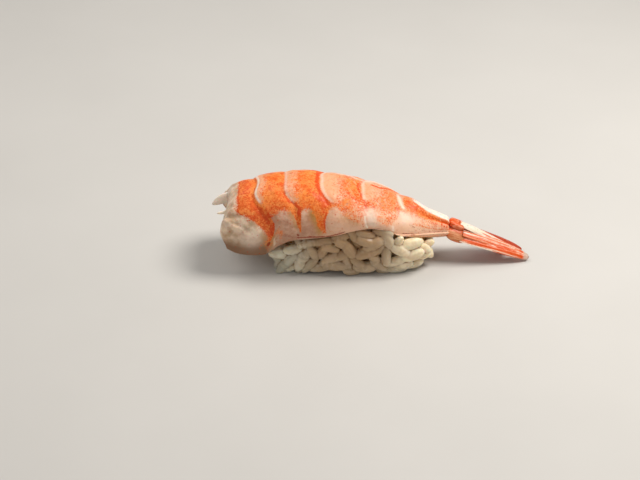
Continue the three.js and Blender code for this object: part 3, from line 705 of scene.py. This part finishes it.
def keel(q, v):
    """The low ridge on the back of the last segment, with a furrow on its near side."""
    furrow = lerp(FURROW["at_joint"], FURROW["at_waist"], np.clip(q - SEGMENTS + 1, 0, 1))
    ridge = ramp(v, furrow, furrow + KEEL["near_slope"]) * (1 - ramp(v, *KEEL["far_foot"]))
    dip = line_at(v, furrow, FURROW["half_width"])
    return ramp(q, *KEEL["start"]) * (KEEL["height"] * ridge - FURROW["depth"] * dip)


def skin_relief(q, v, points):
    """Low lumps of the skin, inwards from the arch: soft everywhere, and folds on the cut head flap."""
    soft = sum(height * (ripple(points, size, i) - 1) for i, (size, height) in enumerate(SKIN_LUMPS, 1))
    folds = np.zeros(len(q))
    for line, half_width, height in FOLDS:
        folds += height * line_at(away_from(q, abs(v), line), 0, half_width)
    return soft + folds - SKIN_SINK


def outer_skin(q, v):
    """The outside of the meat, its back and sides."""
    full = fullness(q, v)[:, None]
    points, normals = arch_point(q, v), arch_normal(q, v)
    relief = (keel(q, v) - groove(q, v) + skin_relief(q, v, points))[:, None] * np.minimum(1, full * 1.5)
    return points + normals * (relief - HALF_THICKNESS * (1 - full))


def inner_skin(q, v):
    """The inside of the meat: the hollow of the arch, which closes to a belly towards the tail."""
    full = fullness(q, v)
    x = segment_x(q, v)
    turn = v * math.pi / 2
    hollow = arch_point(q, v) - arch_normal(q, v) * (HALF_THICKNESS * (1 + full))[:, None]
    y = (along(EDGE_REACH, x) - HALF_THICKNESS * (1 - full)) * np.sin(turn)
    z = along(EDGE_HEIGHT, x) - along(BELLY_DEPTH, x) * full * np.cos(turn)
    belly = np.stack([x, y, z], -1)
    return lerp(hollow, belly, ramp(q, *CLOSING)[:, None])


def away_from(q, side, line):
    """How far each place is from a line through (q, side) points, in about millimetres."""
    span = (SEGMENT_SPAN, SIDE_SPAN)
    here = np.stack([q, side], -1) * span
    corners = np.array(line) * span
    nearest = np.full(len(q), 1e6)
    for start, end in zip(corners[:-1], corners[1:]):
        way = end - start
        share = np.clip((here - start) @ way / (way @ way), 0, 1)
        nearest = np.minimum(nearest, np.linalg.norm(here - start - share[:, None] * way, axis=1))
    return nearest


def drawn(q, side, lines):
    """The strongest of some soft lines at each place."""
    total = np.zeros(len(q))
    for line, half_width, strength in lines:
        total = np.maximum(total, strength * line_at(away_from(q, side, line), 0, half_width))
    return total


def crescents(q, side):
    """The pale crescents from 0 to 1, and the white rims where they start."""
    pale, rims = np.zeros(len(q)), np.zeros(len(q))
    for line, width, low, strength, whiteness in CRESCENTS:
        start = along([(down, place) for place, down in line], side)
        reach = width * (1 - 0.5 * ramp(side, low * 0.5, low))
        fade = ramp(q, start - 0.02, start + 0.015)
        fade = fade * (1 - ramp(q, start + reach * 0.3, start + reach * 1.4))
        fade = fade * (1 - ramp(side, low - 0.06, low + 0.06))
        pale = np.maximum(pale, strength * fade)
        rim = line_at(q - start, CRESCENT_RIM["after"], CRESCENT_RIM["half_width"])
        rim = rim * (1 - ramp(side, low - 0.05, low))
        rims = np.maximum(rims, whiteness * rim)
    return pale, rims


def orange_skin(q, side, pale):
    """Where the skin is orange, from 0 to 1. Each border is sharp, with a softer one mixed in."""
    foot = along(SKIN_FOOT, q)
    sharp, soft = ramp(side, foot - 0.06, foot + 0.06), ramp(side, foot - 0.1, foot + 0.3)
    skin = lerp(1 - sharp, 1 - soft, 0.2)
    start = along(SKIN_START, side)
    sharp, soft = ramp(q, start - 0.08, start + 0.06), ramp(q, start - 0.35, start + 0.06)
    skin = skin * lerp(sharp, soft, 0.4)
    low = ramp(side, 0.35, 0.6)
    skin = skin * lerp(along(BACK_STRENGTH, q), along(SIDE_STRENGTH, q), low)
    return skin * (1 - 0.85 * pale)


def shrimp_marks(q, v, points):
    """Where each colour of the meat lies, from 0 to 1. The barbs are at q below 0."""
    lean = along(LEAN, q)
    side = abs(v - lean) / np.where(v < lean, 1 + lean, 1 - lean)
    pale, rims = crescents(q, side)
    skin = strongest(orange_skin(q, side, pale), drawn(q, side, BLUSHES))
    furrow = lerp(FURROW["at_joint"] + 0.1, FURROW["at_waist"], np.clip(q - SEGMENTS + 1, 0, 1))
    in_furrow = line_at(v, furrow, FURROW["half_width"]) * ramp(q, *FURROW_COLOUR)
    keel_top = ramp(v, furrow + 0.1, furrow + 0.2) * ramp(q, *KEEL_COLOUR)
    on_back = strongest(drawn(q, v, BACK_LINES), ramp(q, *WAIST_BAND))
    whites_and_highlights = strongest(drawn(q, side, WHITES_AND_PAINTED_LIGHT), drawn(q, v, BACK_WHITES_AND_HIGHLIGHTS)) * (1 - np.minimum(on_back, 1))
    outside = 1 - ramp(np.linalg.norm(points - arch_point(q, v), axis=1), *SKIN_DEPTH)
    # Painted light on the side towards the tail.
    painted_side_light = ramp(q, *SIDE_LIGHT["along"]) * ramp(side, *SIDE_LIGHT["down"])
    low = ramp(side, 0.72, 1.0) * (1 - ramp(q, 0.9, 1.3)) + 0.35 * ramp(side, 0.8, 1.0)
    return {
        "pigment": strongest(skin * (1 - 0.9 * keel_top), in_furrow, on_back) * outside,
        "deep": strongest(drawn(q, side, DEEP_LINES), in_furrow * 0.5, on_back),
        "cut_end": 1 - ramp(q, *CUT_END),
        "olive": drawn(q, side, OLIVE_LINES),
        "dark_line": drawn(q, side, EDGE_LINES),
        "white_line_and_highlight": strongest(rims, whites_and_highlights, 1.0 * (q < 0)),
        "pale": pale,
        "keel": keel_top,
        "painted_side_light": SIDE_LIGHT["strength"] * painted_side_light,
        "shaded": np.minimum(low, 1) * (1 - ramp(q, 3.0, 4.2))}


def make_shrimp(finish):
    """The meat, with corners closer together towards its rims, and the barbs."""
    lengthwise = np.concatenate([
        0.3 * (1 - np.cos(np.linspace(0, math.pi / 2, 24)))[:-1],
        np.linspace(0.3, SEGMENTS - 0.1, 260),
        SEGMENTS - 0.1 * np.cos(np.linspace(0, math.pi / 2, 10))[1:]])
    even = np.linspace(-1, 1, 141)
    across = 0.6 * np.sin(even * math.pi / 2) + 0.4 * even
    bm = bmesh.new()
    add_pillow(bm, lengthwise, across, outer_skin, inner_skin)
    place = bm.verts.layers.float["lengthwise"]
    for shape in BARBS:
        before = len(bm.verts)
        add_blade(bm, shape)
        for vert in list(bm.verts)[before:]:
            vert[place] = -1.0
    piece = make_piece("shrimp", bm, finish, ["shrimp_meat"])
    q, v = read_marks(piece, "lengthwise", "across")
    add_marks(piece, shrimp_marks(q, v, vertex_array(piece.data.vertices) / MM))


# ---- The rice ----


def block_point(direction, shrink):
    """A point below the block's skin, in a direction from its middle."""
    n = RICE_SQUARENESS
    size = sum(abs(part) ** n for part in direction) ** (-1 / n)
    x = direction.x * size * (RICE_LENGTH / 2 - shrink)
    rise = float(along(RICE_TOP, x)) - RICE_WAIST_HEIGHT if direction.z > 0 else RICE_UNDERCUT
    y = direction.y * size * (RICE_WIDTH / 2 - shrink)
    return Vector((x, y, max(RICE_WAIST_HEIGHT + direction.z * size * (rise - shrink), 0.05)))


def narrowing(x, height):
    """How much narrower the block is at a height, as a share of its widest outline."""
    rise = height - RICE_WAIST_HEIGHT
    share = -rise / RICE_UNDERCUT if rise < 0 else rise / (along(RICE_TOP, x) - RICE_WAIST_HEIGHT)
    return (1 - np.minimum(share, 0.95) ** RICE_SQUARENESS) ** (1 / RICE_SQUARENESS)


def block_outline(height, count=720):
    """The block's outline at a height, as a closed run of points and its length."""
    n = RICE_SQUARENESS
    turn = np.linspace(0, 2 * math.pi, count, endpoint=False)
    x = np.sign(np.cos(turn)) * abs(np.cos(turn)) ** (2 / n) * RICE_LENGTH / 2
    y = np.sign(np.sin(turn)) * abs(np.sin(turn)) ** (2 / n) * RICE_WIDTH / 2
    share = narrowing(x, height)
    points = np.stack([x * share, y * share, np.full_like(x, height)], -1)
    steps = np.linalg.norm(np.roll(points, -1, 0) - points, axis=1)
    return points, np.concatenate([[0], np.cumsum(steps)])


def front_y(x, height):
    """Y of the block's front at a place along it and a height."""
    n = RICE_SQUARENESS
    share = float(narrowing(x, height))
    end = min(abs(x) / (RICE_LENGTH / 2 * share), 0.97)
    return -RICE_WIDTH / 2 * share * (1 - end ** n) ** (1 / n)


def facing(place):
    """The way out of the block at a place on it."""
    endwise, upright = FACING_SHARE
    return Vector((place.x * endwise, place.y, (place.z - RICE_WAIST_HEIGHT) * upright)).normalized()


def add_grain(bm, place, out, level, angle, size, index):
    """A grain at a place, flat across the way out, with its length turned by angle from level."""
    flat = (level - out * level.dot(out)).normalized()
    lengthwise = Quaternion(out, angle) @ flat
    across = lengthwise.cross(out)
    turn = Matrix((across, lengthwise, out)).transposed()
    ball = bmesh.ops.create_uvsphere(bm, u_segments=10, v_segments=7, radius=1)
    verts = ball["verts"]
    bmesh.ops.rotate(bm, verts=verts, matrix=Matrix.Rotation(math.pi / 2, 3, "X"))
    half = (GRAIN_WIDTH * size / 2, GRAIN_LENGTH * size / 2, GRAIN_THICKNESS * size / 2)
    half = (half[0] * (1 + spread(index, 6, 0.1)), half[1] * (1 + spread(index, 7, 0.1)), half[2])
    taper, bend = spread(index, 8, 0.16), spread(index, 9, 0.5)
    for vert in verts:
        x, y, z = vert.co
        girth = max(math.hypot(x, z), 1e-9) ** (GRAIN_BLUNTNESS - 1) * (1 + taper * y)
        local = Vector((x * girth * half[0] + bend * (y * y - 0.4), y * half[1], z * girth * half[2]))
        vert.co = turn @ local + place
        vert.co.z = max(vert.co.z, 0.02)
    return verts


def overhang_shade(x, z):
    """How much painted shade, tinted orange by bounce from the shrimp, the rice gets: most under the middle
    of the shrimp, least at the low head end.
    """
    middle = ramp(x, -21, -8) * (1 - ramp(x, 7, 16))
    return middle * (0.5 + 0.2 * ramp(z, 3, 9))


def add_scattered_grains(bm, tint, painted_gap_shade):
    """Rows of grains all round the block, up to the meat."""
    for row, height in enumerate(GRAIN_ROWS):
        points, reach = block_outline(height)
        count = round(reach[-1] / GRAIN_PITCH)
        for i in range(count):
            index = row * 100 + i
            share = ((i + 0.5 * (row % 2) + spread(index, 1, GRAIN_STRAY["along"]) + 1) / count) % 1
            at = int(np.searchsorted(reach, share * reach[-1])) % len(points)
            place = Vector(points[at])
            ahead = Vector(points[(at + 1) % len(points)]) - place
            covered = float(min(along(EDGE_HEIGHT, place.x) + 1, along(RICE_TOP, place.x) - 2))
            if place.z > covered:
                continue
            outward = Vector((place.x * FACING_SHARE[0], place.y, 0)).normalized()
            sink = GRAIN_STRAY["least_sink"] + scatter(index, 2) * GRAIN_STRAY["sink"]
            if place.y < FRONT_SIDE:
                sink += FRONT_BACKING * (1 if place.z < 9 or place.x > 8 else 0.4)
            place -= outward * sink
            place.z += spread(index, 3, GRAIN_STRAY["height"])
            angle = spread(index, 4, GRAIN_STRAY["turn"])
            size = 1 + spread(index, 5, GRAIN_STRAY["size"])
            for vert in add_grain(bm, place, facing(place), ahead, angle, size, index):
                vert[tint] = scatter(index, 10)
                vert[painted_gap_shade] = GAP_SHADE["backing"] if place.y < FRONT_SIDE else 0.0


def add_front_grains(bm, tint):
    """The grains of the front, each at its own place."""
    for index, (x, height, turn, size, proud) in enumerate(FRONT_GRAINS, 900):
        place = Vector((x, front_y(x, height) - proud - 0.1, height))
        out = Vector((spread(index, 11, FRONT_TILT), -1, spread(index, 12, FRONT_TILT))).normalized()
        for vert in add_grain(bm, place, out, Vector((1, 0, 0)), math.radians(turn), size, index):
            vert[tint] = scatter(index, 10)


def make_rice(finish):
    """The grains and the core under them as one skin."""
    bm = bmesh.new()
    tint = bm.verts.layers.float.new("tint")
    painted_gap_shade = bm.verts.layers.float.new("painted_gap_shade")
    add_scattered_grains(bm, tint, painted_gap_shade)
    add_front_grains(bm, tint)
    core = bmesh.ops.create_uvsphere(bm, u_segments=64, v_segments=48, radius=1)
    for vert in core["verts"]:
        vert.co = block_point(vert.co, CORE_SHRINK)
        vert[painted_gap_shade] = GAP_SHADE["core"] if vert.co.z > 0.1 else GAP_SHADE["underside"]
    piece = make_piece("rice_grains", fused(bm, ("tint", "painted_gap_shade")), finish, ["rice_block"])
    x, _, z = vertex_array(piece.data.vertices).T / MM
    # Painted shade with orange bounce under the shrimp, and painted light towards the tail end.
    add_marks(piece, {"painted_overhang_shade": overhang_shade(x, z), "painted_light": ramp(x, 6, 18) * ramp(z, -3, 6)})


def drop_hollows(bm):
    """Leaves only the outer skin of a body: the island that holds its lowest corner."""
    start = min(bm.verts, key=lambda vert: vert.co.z)
    outer, waiting = {start}, [start]
    while waiting:
        vert = waiting.pop()
        for edge in vert.link_edges:
            other = edge.other_vert(vert)
            if other not in outer:
                outer.add(other)
                waiting.append(other)
    bmesh.ops.delete(bm, geom=[vert for vert in bm.verts if vert not in outer], context="VERTS")


def mark_creases(skin):
    """Keeps how deep each corner lies between its neighbours, which tells the seams between grains."""
    skin.normal_update()
    crease = skin.verts.layers.float.new("crease")
    for vert in skin.verts:
        around = [edge.other_vert(vert).co for edge in vert.link_edges]
        vert[crease] = (sum(around, Vector()) / len(around) - vert.co).dot(vert.normal)
    for _ in range(2):
        softer = [sum(edge.other_vert(vert)[crease] for edge in vert.link_edges) / len(vert.link_edges)
                  for vert in skin.verts]
        for vert, value in zip(skin.verts, softer):
            vert[crease] = value


def fused(bm, marks):
    """The bodies of a bmesh as one skin, like sticky grains, each mark kept from the nearest corner."""
    loose = bpy.data.meshes.new("loose")
    bm.to_mesh(loose)
    nearest = KDTree(len(bm.verts))
    for i, vert in enumerate(bm.verts):
        nearest.insert(vert.co, i)
    nearest.balance()
    kept = {name: [vert[bm.verts.layers.float[name]] for vert in bm.verts] for name in marks}
    bm.free()
    carrier = bpy.data.objects.new("loose", loose)
    bpy.context.scene.collection.objects.link(carrier)
    remesh = carrier.modifiers.new("fuse", "REMESH")
    remesh.mode = "VOXEL"
    remesh.voxel_size = FUSE_STEP
    thin = carrier.modifiers.new("thin out", "DECIMATE")
    thin.ratio = FUSE_KEPT
    skin = bmesh.new()
    skin.from_object(carrier, bpy.context.evaluated_depsgraph_get())
    bpy.data.objects.remove(carrier)
    bpy.data.meshes.remove(loose)
    drop_hollows(skin)
    bmesh.ops.smooth_vert(skin, verts=skin.verts, factor=FUSE_SOFTENING,
                          use_axis_x=True, use_axis_y=True, use_axis_z=True)
    layers = {name: skin.verts.layers.float.new(name) for name in marks}
    mark_creases(skin)
    for vert in skin.verts:
        i = nearest.find(vert.co)[1]
        for name, layer in layers.items():
            vert[layer] = kept[name][i]
        vert.co.z = max(vert.co.z, 0.0)
    return skin


# ---- The tail ----


def far_side(shape):
    """The same lump or blade on the other side of the tail."""
    x, y, z = shape["root"]
    changed = {"root": (x, -y, z + FAR_SIDE["lift"]), "roll": FAR_SIDE["roll"],
               "pitch": shape["pitch"] + FAR_SIDE["steeper"], "yaw": -shape.get("yaw", 0)}
    if "length" in shape:
        changed["length"] = shape["length"] - FAR_SIDE["shorter"]
    return {**shape, **changed}


def blade_width(shape, u):
    """Half the width of a blade at u, from 0 at its root to 1 at its tip."""
    opening = lerp(BLADE_ROOT_SHARE, 1, np.sqrt(np.clip(u / BLADE_OPEN, 0, 1)))
    past = np.clip((u - BLADE_CLOSE) / (1 - BLADE_CLOSE), 0, 1)
    closing = (1 - past ** BLADE_FULLNESS) ** shape["pointed"]
    return shape["half_width"] * opening * lerp(TIP_SHARE, 1, closing)


def add_blade(bm, shape):
    """A thin leaf, widest before its middle, with a rib down its middle and fine veins beside it."""
    turn = np.array(placement(shape))

    def face(sign):
        def rule(u, v):
            rim = np.sqrt(np.maximum(1 - v * v, 0))
            rim = rim * np.minimum(1, np.minimum(0.25 + 3 * u, 0.3 + 5 * (1 - u)))
            rib = RIB["height"] * line_at(v, 0, RIB["half_width"]) * (1 - u)
            relief = rib - VEINS["height"] * np.cos(v * VEINS["closeness"]) * (1 - abs(v))
            lift = shape["arch"] * np.sin(math.pi * u) - shape["camber"] * v * v
            lift = lift + sign * shape["thickness"] / 2 * rim + np.where(sign > 0, relief * rim, 0)
            sideways = v * blade_width(shape, u) + shape.get("hook", 0) * u * u
            local = np.stack([u * shape["length"], sideways, lift, np.ones_like(u)], -1)
            return (local @ turn.T)[:, :3]
        return rule

    u_stops = np.linspace(0, 1, 61)
    v_stops = np.sin(np.linspace(-math.pi / 2, math.pi / 2, 41))
    add_pillow(bm, u_stops, v_stops, face(1), face(-1))


def stripes(place, table):
    """Soft lines: where each lies, its half width and its strength."""
    return sum(strength * line_at(place, middle, half_width) for middle, half_width, strength in table)


def telson_marks(u, v, on_blade):
    """A white blade with an orange root and two lines towards its tip, on an orange knuckle with a painted
    highlight on it.
    """
    root = ramp(u, 0.0, 0.05)
    near_line = 0.75 * line_at(v, -0.5, 0.1) * ramp(u, 0.3, 0.5)
    middle_line = 0.6 * line_at(v, 0.1, 0.08) * ramp(u, 0.45, 0.6)
    knuckle = 0.5 + stripes(u, [(-1.05, 0.12, 0.5), (-1.95, 0.1, 0.4)])
    # A painted highlight on the knuckle.
    painted_knuckle_highlight = 0.8 * (1 - on_blade) * line_at(v, 0.3, 0.2) * line_at(u, -1.3, 0.15)
    deep = np.where(on_blade > 0, strongest(0.9 * (1 - root), near_line + middle_line), knuckle)
    return {"pale": on_blade * root * 1.2 + painted_knuckle_highlight, "deep": deep}


def inner_marks(u, v, on_blade):
    """Pale and orange lines on the first part of the blade, and orange rims."""
    first = 1 - ramp(u, 0.6, 0.8)
    pale = 0.15 + first * stripes(v, [(0.42, 0.12, 0.6), (-0.15, 0.1, 0.5)]) + 0.25 * (1 - first)
    rims = 0.7 * ramp(abs(v), 0.88, 1.0)
    return {"pale": pale, "deep": rims + first * stripes(v, [(0.14, 0.08, 0.7), (-0.5, 0.1, 0.6)])}


def outer_marks(u, v, on_blade):
    """Orange lines on the blade, a cream near rim and a clear tip, on a tan root with orange rims."""
    tip = ramp(u, 0.9, 0.94) * on_blade
    first = 1 - ramp(u, 0.45, 0.65)
    pale = 0.5 * line_at(v, -0.25, 0.12) * first + 0.4 * line_at(v, 0.1, 0.35) * (1 - first)
    pale = on_blade * (pale + 0.8 * ramp(-v, 0.7, 0.9) * (0.4 + 0.6 * first))
    deep = 0.5 + stripes(v, [(0.75, 0.1, 0.6), (-0.55, 0.1, 0.6)]) + 0.6 * line_at(v, 0.4, 0.2) * first
    deep = on_blade * (deep + 0.4 * line_at(u, 0.88, 0.03)) * (1 - tip)
    deep = deep * (1 - np.minimum(pale, 1))
    rim = ramp(v, 0.1, 0.35) + ramp(-v, 0.75, 0.95) + line_at(u, -2, 0.15)
    rim = np.where(on_blade > 0, 0, rim)
    tan = (1 - on_blade) * (1 - 0.7 * np.minimum(rim, 1))
    return {"pale": pale, "deep": strongest(deep, 0.8 * rim), "tan": tan, "clear": tip * 0.85}


def far_marks(u, v, on_blade):
    """Deep orange all over and in shade, a little paler at the tip."""
    return {"pale": 0.15 * ramp(u, 0.85, 1.0), "deep": np.full_like(u, 1.3),
            "shade": np.full_like(u, 0.6)}


def make_tail_piece(name, finish, replaced, shapes, rule, seed):
    """One piece of the tail from its lumps and blades, coloured by a rule."""
    bm = bmesh.new()
    lengthwise = bm.verts.layers.float.new("lengthwise")
    across = bm.verts.layers.float.new("across")
    for shape in shapes:
        if "length" in shape:
            add_blade(bm, shape)
            continue
        turn, half, n = placement(shape), Vector(shape["half"]), shape["squareness"]
        ball = bmesh.ops.create_uvsphere(bm, u_segments=48, v_segments=32, radius=1)
        for vert in ball["verts"]:
            vert[lengthwise] = -1.5 + vert.co.x / 2
            vert[across] = vert.co.y
            vert.co = turn @ (vert.co * half * sum(abs(part) ** n for part in vert.co) ** (-1 / n))
    piece = make_piece(name, bm, finish, [replaced])
    u, v = read_marks(piece, "lengthwise", "across")
    marks = {mark: np.zeros_like(u) for mark in ("pale", "deep", "tan", "clear", "shade")}
    marks.update(rule(u, v, (u >= 0).astype(float)))
    add_marks(piece, {**marks, "seed": np.full_like(u, seed)})


def make_tail(finish):
    pieces = [
        ("telson", "tail_telson", [KNUCKLE, TELSON], telson_marks),
        ("inner_blade_near", "tail_fin_near_inner", [INNER_BLADE], inner_marks),
        ("outer_blade_near", "tail_fin_near_outer", [PROTOPOD, OUTER_BLADE], outer_marks),
        ("inner_blade_far", "tail_fin_far_inner", [far_side(INNER_BLADE)], far_marks),
        ("outer_blade_far", "tail_fin_far_outer", [far_side(PROTOPOD), far_side(OUTER_BLADE)], far_marks)]
    for i, (name, replaced, shapes, rule) in enumerate(pieces):
        make_tail_piece(name, finish, replaced, shapes, rule, 1 + 4 * i)


# ---- The setting ----


def make_floor():
    """A wide table top at height 0."""
    bm = bmesh.new()
    bmesh.ops.create_grid(bm, x_segments=1, y_segments=1, size=900)
    mesh = bpy.data.meshes.new("floor")
    bmesh.ops.scale(bm, vec=(MM, MM, MM), verts=bm.verts)
    bm.to_mesh(mesh)
    bm.free()
    mesh.materials.append(table_finish())
    floor = bpy.data.objects.new("floor", mesh)
    bpy.context.scene.collection.objects.link(floor)


def aim(thing, place, target):
    """Sets a camera or a light at a place, facing a target."""
    thing.location = Vector(place) * MM
    thing.rotation_euler = (Vector(target) * MM - thing.location).to_track_quat("-Z", "Y").to_euler()
    bpy.context.scene.collection.objects.link(thing)


def add_light(name, place, size, power, colour):
    light = bpy.data.lights.new(name, "AREA")
    light.shape = "DISK"
    light.size = size * MM
    light.energy = power
    light.color = colour
    aim(bpy.data.objects.new(name, light), place, (0, 0, 10))


def make_camera():
    """Looks at the near long side from above."""
    look_at = Vector((-9.5, 9.1, 0.0))
    elevation = math.radians(33)
    distance = 620.0
    pixels_per_mm = 3.15
    picture_width = 640
    camera = bpy.data.cameras.new("camera")
    camera.sensor_width = 36.0
    camera.lens = camera.sensor_width * pixels_per_mm * distance / picture_width
    camera.clip_start = 0.01
    seen = bpy.data.objects.new("camera", camera)
    away = Vector((0, -math.cos(elevation), math.sin(elevation)))
    aim(seen, look_at + away * distance, look_at)
    bpy.context.scene.camera = seen


def light_scene():
    """A key light high at the tail end, two soft fills and a pale world."""
    add_light("key", (230, 20, 390), 230, 1.9, (1.0, 0.97, 0.93))
    add_light("back", (-180, 160, 380), 260, 0.6, (1.0, 0.98, 0.95))
    add_light("fill", (-150, -350, 330), 400, 0.32, (1.0, 0.98, 0.96))
    world = bpy.data.worlds.new("studio")
    bpy.context.scene.world = world
    world.use_nodes = True
    background = world.node_tree.nodes["Background"]
    background.inputs["Color"].default_value = (1.0, 0.98, 0.95, 1.0)
    background.inputs["Strength"].default_value = 0.2
    bpy.context.scene.view_settings.view_transform = "Standard"


make_camera()
light_scene()
make_floor()
make_shrimp(shrimp_finish())
make_rice(rice_finish())
make_tail(shell_finish())

bpy.context.view_layer.update()
